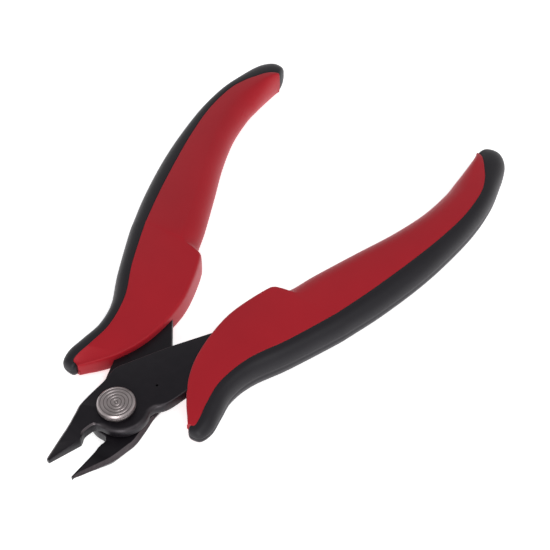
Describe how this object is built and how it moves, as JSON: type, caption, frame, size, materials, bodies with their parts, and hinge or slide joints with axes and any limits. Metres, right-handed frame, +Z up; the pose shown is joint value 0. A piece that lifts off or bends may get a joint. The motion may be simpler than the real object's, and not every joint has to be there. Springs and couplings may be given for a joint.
{
  "type": "flush cut pliers",
  "caption": "Micro flush cut pliers with upturned lapped jaws, a riveted pivot, a wire return spring and two-colour cushioned grips",
  "frame": {"origin": "below the middle of the open tool's outline, on the surface it lies on", "axes": "+X along the tool towards the jaw tips, +Y towards the grip of the upper blade, +Z up, out of the rivet's head"},
  "size_m": [0.1339, 0.08, 0.009],
  "materials": {
    "black_steel": "satin black oxide",
    "turned_steel": "turned",
    "spring_steel": "drawn wire",
    "red_plastic": "satin moulded",
    "black_rubber": "satin overmould"
  },
  "bodies": {
    "upper_half": {"upper_blade": "black_steel", "upper_grip_core": "red_plastic", "upper_grip_cover": "black_rubber", "pivot_rivet": "turned_steel", "rivet_washer": "turned_steel", "return_spring": "spring_steel"},
    "lower_half": {"lower_blade": "black_steel", "lower_grip_core": "red_plastic", "lower_grip_cover": "black_rubber"}
  },
  "joints": [
    {"name": "jaw_hinge", "type": "hinge", "parent": "upper_half", "child": "lower_half", "pos_m": [0.04835, 0, 0.004], "axis": [0, 0, -1], "range_deg": [0, 17], "stiffness_Nm_per_rad": 0.6, "springref_deg": -11.46, "deforming": ["return_spring"]}
  ]
}
